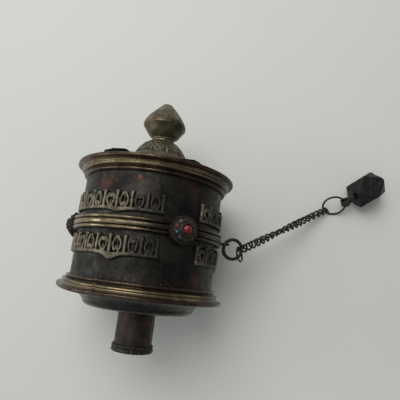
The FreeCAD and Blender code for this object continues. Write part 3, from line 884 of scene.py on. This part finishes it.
def rosette(lift):
    """A beaded foot, a ring of cells and a beaded collar, melted together on a low dome."""
    crown = [(0, 0.78), (1.9, 0.78), (3.0, 0.66), (4.1, 0.52), (4.9, 0.36), (5.1, 0.2)]
    crown = [(r, WALL_R + share * lift) for r, share in crown]
    parts = [capped_turn(crown + [(5.1, WALL_R - 0.4), (0, WALL_R - 0.4)], 72)]
    for k in range(BEADS):
        parts.append(ball(circle_point(BEAD_R, k / BEADS, WALL_R + 0.43 * lift), 0.46))
    for k in range(CELLS):
        at_cell = cell_point(k, lift, 0.63)
        lean = Matrix.Rotation(CELL_LEAN, 4, Vector((-at_cell.y, at_cell.x, 0)).normalized())
        parts.append(moved(disc_ring(0.80, 0.2, 0.0, 20), Matrix.Translation(at_cell) @ lean))
        if k not in CHIPS:
            parts.append(ball(at_cell, 0.66, 0.9))
    parts.append(disc_ring(COLLAR_R, 0.36, WALL_R + 0.80 * lift, 48))
    for k in range(COLLAR):
        parts.append(ball(circle_point(COLLAR_R, k / COLLAR, WALL_R + 0.86 * lift), 0.34))
    return fused(parts, 0.13, 1)


def cabochon(top, seat, seed):
    """Uneven rounded coral."""
    dome = [(1.8 * math.sin(a), seat + (top - seat) * math.cos(a))
            for a in np.linspace(0, 0.5 * math.pi, 12)]
    mesh = capped_turn(dome + [(1.7, seat - 0.3), (0, seat - 0.3)], 48)
    wrinkle(mesh, 0.12, 1.1, seed)
    for v in mesh.verts:
        v.co.z = min(v.co.z, top)
    return mesh


def make_bezels():
    """Three domed rosettes on the band, each with a coral and four small stones."""
    for index in range(3):
        name, coral_name = "bezel_%d" % (index + 1), "coral_%d" % (index + 1)
        at = facing(name)
        top = reach_along(coral_name, at)
        lift = top - WALL_R
        body = rosette(lift)
        wrinkle(body, 0.09, 0.9, index)
        make_piece(name + "_rosette", "drum", "bezel_brass", [name], bezel_frame(body, at), sharp=80)
        coral = cabochon(top, WALL_R + 0.74 * lift, index + 4)
        make_piece(coral_name + "_cabochon", "drum", "red_coral", [coral_name], bezel_frame(coral, at),
                   material=BROWN_CORAL if index == 2 else None)
        for k, kind in CHIPS.items():
            chip = ball(cell_point(k, lift, 0.64), 0.68, 0.8)
            make_piece("side_stone_%d_%d" % (index + 1, k), "drum", "turquoise",
                       ["side_stones"] if index == 0 and kind == 2 else [], bezel_frame(chip, at),
                       material=SIDE_STONES[kind])


# ---- chain ----
JOINTS = {j["name"]: j for j in frame["joints"]}
LINKS = 18
LINK_WIRE = 0.44          # radius of the links' wire
LINK_HALF = 1.35          # half the width of a link's oval
LINK_TWIST = 1.0          # how far an oval is bent out of its plane, to each side
LINK_PAST = 0.62          # how far an oval reaches past half the pitch, at each end
EYE_R, EYE_WIRE = 4.02, 0.70
END_R, END_WIRE = 5.25, 0.46
END_SLACK = 0.4           # how far the end ring is drawn towards the last link
JUMP_WIRE = 0.375
JUMP_OUTLINE = [(3.1, -0.5), (2.6, 1.35), (1.6, 1.85), (-1.5, 1.75), (-3.3, 0.9), (-3.6, -0.3),
                (-2.9, -1.5), (-1.4, -1.85), (0.9, -1.85), (2.3, -1.45)]


def anchor(joint):
    """Where a joint's axis passes."""
    return Vector(JOINTS[joint]["pos_m"]) / MM


def lie(node):
    """Centre of a CAD node and its long and middle directions."""
    points = np.array([v.co for v in frame["nodes"][node].data.vertices]) / MM
    centre = middle(node)
    _, _, ways = np.linalg.svd(points - np.array(centre), full_matrices=False)
    return centre, Vector(ways[0]), Vector(ways[1])


def ring_path(centre, a, b, radius, wobble, count=96):
    """Slightly uneven circle in the plane of the directions a and b."""
    path = []
    for i in range(count):
        turn = 2 * math.pi * i / count
        spot = Vector((2 * math.cos(turn), 2 * math.sin(turn), radius))
        r = radius * (1 + wobble * noise.noise(spot))
        path.append(centre + swung(a, b, turn) * r)
    return path


def make_rings():
    """The forged ring on the staple and the wire ring that carries the weight."""
    centre, a, b = lie("eye_ring")
    mesh = swept(ring_path(centre, a, b, EYE_R, 0.03),
                 lambda t: EYE_WIRE * (1 + 0.05 * math.sin(2 * math.pi * t + 1)), closed=True, lumps=0.07)
    make_piece("eye_ring_forged", "eye_ring", "black_iron", ["eye_ring"], mesh)
    centre, a, b = lie("end_ring")
    slack = (middle("link_%02d" % LINKS) - centre).normalized() * END_SLACK
    slack.z *= 0.7        # keeps the ring on the floor
    mesh = swept(ring_path(centre + slack, a, b, END_R, 0.02), END_WIRE, closed=True, lumps=0.02)
    make_piece("end_ring_wire", "end_ring", "black_iron", ["end_ring"], mesh)


def make_jump_ring():
    """Wire bent by hand into a long open loop, its two ends close together, one of them thinned."""
    centre, long_way, wide_way = lie("jump_ring")
    hook = anchor("jump_ring_swing")
    a, b = (w if (hook - centre).dot(w) > 0 else -w for w in (long_way, wide_way))
    path = softened([centre + a * u + b * v for u, v in JUMP_OUTLINE], 3, closed=False)
    mesh = swept(path, lambda t: JUMP_WIRE * (1 - 2.5 * max(0, t - 0.9)), lumps=0.04)
    make_piece("jump_ring_bent", "jump_ring", "black_iron", ["jump_ring"], mesh)


def link_roll(i):
    """Degrees that link i is turned about the chain. It falls along the first two thirds, and
    rises at the far end so that the last link hangs square on its ring."""
    return 10 + 185 * (1 - min(i / 12, 1.0)) + 15 * max(i - 13, 0)


def make_links():
    """Curb links: each oval is twisted so that the chain lies flat."""
    first, last = middle("link_01"), middle("link_%02d" % LINKS)
    way = (last - first).normalized()
    long_half = 0.5 * (last - first).length / (LINKS - 1) + LINK_PAST
    upward = Vector((0, 0, 1))
    level = (upward - way * upward.dot(way)).normalized()
    across = way.cross(level)
    steps = 56
    for i in range(LINKS):
        name = "link_%02d" % (i + 1)
        centre = middle(name)
        roll = math.radians(link_roll(i))
        side = swung(across, level, roll)
        face = way.cross(side)
        path = []
        for k in range(steps):
            t = 2 * math.pi * k / steps
            path.append(centre + swung(way * long_half, side * LINK_HALF, t)
                        + face * (LINK_TWIST * math.sin(2 * t)))
        mesh = swept(path, LINK_WIRE, closed=True, sides=12, lumps=0.015)
        make_piece(name + "_curb", name, "black_iron", [name], mesh)


def make_weight():
    """Hammered block from the CAD block's own corners, with soft worn edges and a pitted skin."""
    source = bmesh.new()
    source.from_mesh(frame["nodes"]["weight"].data)
    bmesh.ops.scale(source, vec=(1 / MM,) * 3, verts=source.verts[:])
    hull = bmesh.ops.convex_hull(source, input=source.verts[:])
    inside = hull["geom_interior"] + hull["geom_unused"]
    spare = [g for g in inside if isinstance(g, bmesh.types.BMVert)]
    bmesh.ops.delete(source, geom=spare, context="VERTS")
    bmesh.ops.remove_doubles(source, verts=source.verts[:], dist=0.01)
    bmesh.ops.dissolve_limit(source, angle_limit=math.radians(2), verts=source.verts[:],
                             edges=source.edges[:])
    bmesh.ops.bevel(source, geom=source.edges[:], offset=0.28, segments=2, affect="EDGES", profile=0.5)
    bmesh.ops.triangulate(source, faces=source.faces[:])
    block = fused([source], 0.22, 2)
    block.normal_update()
    for v in block.verts:
        dent = 0.22 * noise.noise(v.co / 3.1) + 0.08 * noise.noise(v.co / 0.9)
        v.co += v.normal * (dent - 0.12)
        v.co.z = max(v.co.z, FLOOR_Z)
    make_piece("weight_block", "weight", "black_iron", ["weight"], block, sharp=60)


COIL_TURNS, COIL_R, COIL_WIRE = 3, 1.85, 0.52
NECK_TURNS, NECK_R, NECK_WIRE = 3.2, 1.3, 0.5
BLOCK_HALF = 7.45         # half the weight's length along its neck


def make_weight_eye():
    """Wire wound three times into an eye, with its tail wrapped down the neck."""
    hook, axis = anchor("weight_swing"), Vector(JOINTS["weight_swing"]["axis"])
    block = middle("weight")
    shank = Vector((block.x - hook.x, block.y - hook.y, 0)).normalized()
    centre = Vector((hook.x, hook.y, 0.5 * (hook.z + block.z))) + shank * 0.1
    upward = Vector((0, 0, 1))
    level = upward.cross(shank)
    roll = math.atan2(axis.z, axis.dot(level))
    axis = swung(level, upward, roll)
    out = axis.cross(shank)
    steps = 44 * COIL_TURNS
    coil = []
    for i in range(steps + 1):
        turn = 2 * math.pi * COIL_TURNS * i / steps
        slide = (i / steps - 0.5) * COIL_TURNS * 2.05 * COIL_WIRE
        coil.append(centre + swung(shank, out, turn) * COIL_R + axis * slide)
    face = block - shank * (BLOCK_HALF - 0.4)
    face.z = centre.z
    start = centre + shank * 2.0
    neck = []
    steps = 60
    for i in range(steps + 1):
        t = i / steps
        spin = 2 * math.pi * NECK_TURNS * t
        neck.append(start.lerp(face, t) + swung(level, upward, spin) * NECK_R)
    core = swept([start - shank * 0.3, start.lerp(face, 0.5), face], 0.95, sides=20)
    eye = merged([swept(coil, COIL_WIRE, sides=12, lumps=0.03),
                  swept(neck, NECK_WIRE, sides=12, lumps=0.03), core])
    make_piece("weight_eye_wound", "weight", "black_iron", ["weight_eye"], eye, sharp=50)


# ---- socket ----
BORE_R, BORE_DEEP = 6.5, 11.0
FERRULE_SEAM_DEG = 62     # solder seam along the tube
CRIMPS = 34               # small folds round the collar


def make_ferrule():
    """Socket tube for the handle, a little uneven, with its seam."""
    low, high = along("handle_ferrule")
    out = reach("handle_ferrule")
    outline = [(BORE_R, low), (out - 0.1, low), (out, low + 0.2)]
    steps = 24
    outline += [(out, low + 0.2 + (high - low - 0.2) * i / steps) for i in range(1, steps + 1)]
    outline += [(BORE_R - 0.5, high), (BORE_R - 0.5, BORE_DEEP), (BORE_R, BORE_DEEP)]

    def shape(r, y, degrees):
        if r > BORE_R + 0.5:
            spot = turned(r, y, degrees)
            r += 0.10 * noise.noise(spot / 4.0) + 0.03 * noise.noise(spot / 1.2)
            r += 0.14 * near(degrees, FERRULE_SEAM_DEG, 4.5)
        return r, y
    make_piece("handle_ferrule_tube", "spindle", "patinated_copper", ["handle_ferrule"],
               lathe(outline, SMALL_STEPS, shape), material=FERRULE_METAL)


def make_collar():
    """Rolled and crimped edge round the mouth of the socket."""
    low, high = along("ferrule_collar")
    tube, wide = reach("handle_ferrule"), reach("ferrule_collar")
    ring = softened([(tube - 0.1, low), (wide - 0.35, low), (wide, low + 0.35), (wide, low + 1.05),
                     (wide - 0.4, low + 1.45), (wide - 0.15, low + 1.75), (wide - 0.1, low + 2.35),
                     (wide - 0.5, high), (tube - 0.1, high)], 2)

    def crimp(r, y, degrees):
        if r > tube + 0.2:
            folds = math.sin(math.radians(degrees) * CRIMPS + y * 2.2)
            r += 0.22 * noise.noise(turned(r, y, degrees) / 1.1) - 0.08 + 0.09 * folds
        return min(r, wide), y
    make_piece("ferrule_collar_rolled", "spindle", "patinated_copper", ["ferrule_collar"],
               lathe(ring, FINE_STEPS, crimp), material=COLLAR_METAL)


finish_cad_nodes()
make_rims()
make_wall()
make_band()
make_friezes()
make_dome()
make_finial()
make_leaves()
make_bezels()
make_rings()
make_jump_ring()
make_links()
make_weight()
make_weight_eye()
make_ferrule()
make_collar()


# ---- floor, light and camera ----
ROOM_DIM = 0.19           # strength of the room light on its darker side
ROOM_BRIGHT = 0.66        # and on the side where the window is
FLOOR_SIDE = 6            # metres
AIM = (30, 45, 0)         # point that both lamps shine at
CAMERA_AT = (23.2, 29.8, 156.5)
CAMERA_LENS = 34.2


def make_stage():
    """Plain pale paper."""
    bpy.ops.mesh.primitive_plane_add(size=FLOOR_SIDE, location=(0, 0, FLOOR_Z * MM))
    floor = bpy.context.object
    floor.name = "floor"
    paper = Paint("floor_paper")
    tone = paper.blend(paper.noise(60, 3, 0.5), (0.74, 0.745, 0.70), (0.77, 0.775, 0.73))
    paper.raise_by(paper.noise(0.7, 4, 0.6), 0.04)
    floor.data.materials.append(paper.done(tone, 0.7))


def make_light(name, at, size, power, colour):
    """Soft oval lamp. Its place and size are in millimetres, its power in watts."""
    data = bpy.data.lights.new(name, "AREA")
    data.shape = "ELLIPSE"
    data.size = size[0] * MM
    data.size_y = size[1] * MM
    data.energy = power
    data.color = colour
    lamp = placed(name, data)
    lamp.location = Vector(at) * MM
    lamp.rotation_mode = "QUATERNION"
    lamp.rotation_quaternion = (Vector(AIM) * MM - lamp.location).to_track_quat("-Z", "Y")


def make_room():
    """Even room light that is stronger on the left, where the window is."""
    world = bpy.data.worlds.new("room")
    world.use_nodes = True
    tree = world.node_tree
    way = tree.nodes.new("ShaderNodeTexCoord")
    lean = tree.nodes.new("ShaderNodeVectorMath")
    lean.operation = "DOT_PRODUCT"
    lean.inputs[1].default_value = Vector((-0.88, 0.22, 0.42)).normalized()
    tree.links.new(way.outputs["Generated"], lean.inputs[0])
    ramp = tree.nodes.new("ShaderNodeMapRange")
    ramp.interpolation_type = "SMOOTHSTEP"
    for socket, number in zip(ramp.inputs[1:5], (-0.1, 0.95, ROOM_DIM, ROOM_BRIGHT)):
        socket.default_value = number
    tree.links.new(lean.outputs["Value"], ramp.inputs[0])
    sky = tree.nodes["Background"]
    sky.inputs["Color"].default_value = (0.97, 0.985, 1.0, 1)
    tree.links.new(ramp.outputs[0], sky.inputs["Strength"])
    bpy.context.scene.world = world


def make_camera():
    """Looks almost straight down, with the object's axis leaning a little in the picture."""
    data = bpy.data.cameras.new("camera")
    data.sensor_width = 36
    data.lens = CAMERA_LENS
    data.clip_start = 0.01
    camera = placed("camera", data)
    back = Vector((0.025, -0.205, 0.978)).normalized()
    right = Vector((0.993, 0.120, 0.0))
    right = (right - back * right.dot(back)).normalized()
    up = back.cross(right)
    turn = Matrix((right, up, back)).transposed().to_4x4()
    camera.matrix_world = Matrix.Translation(Vector(CAMERA_AT) * MM) @ turn
    bpy.context.scene.camera = camera


make_stage()
make_light("key", (-150, 330, 540), (480, 480), 1.85, (1, 0.99, 0.955))
make_light("window", (-700, 85, 215), (190, 320), 0.72, (1, 1, 1))
make_room()
bpy.context.scene.view_settings.view_transform = "Standard"
make_camera()
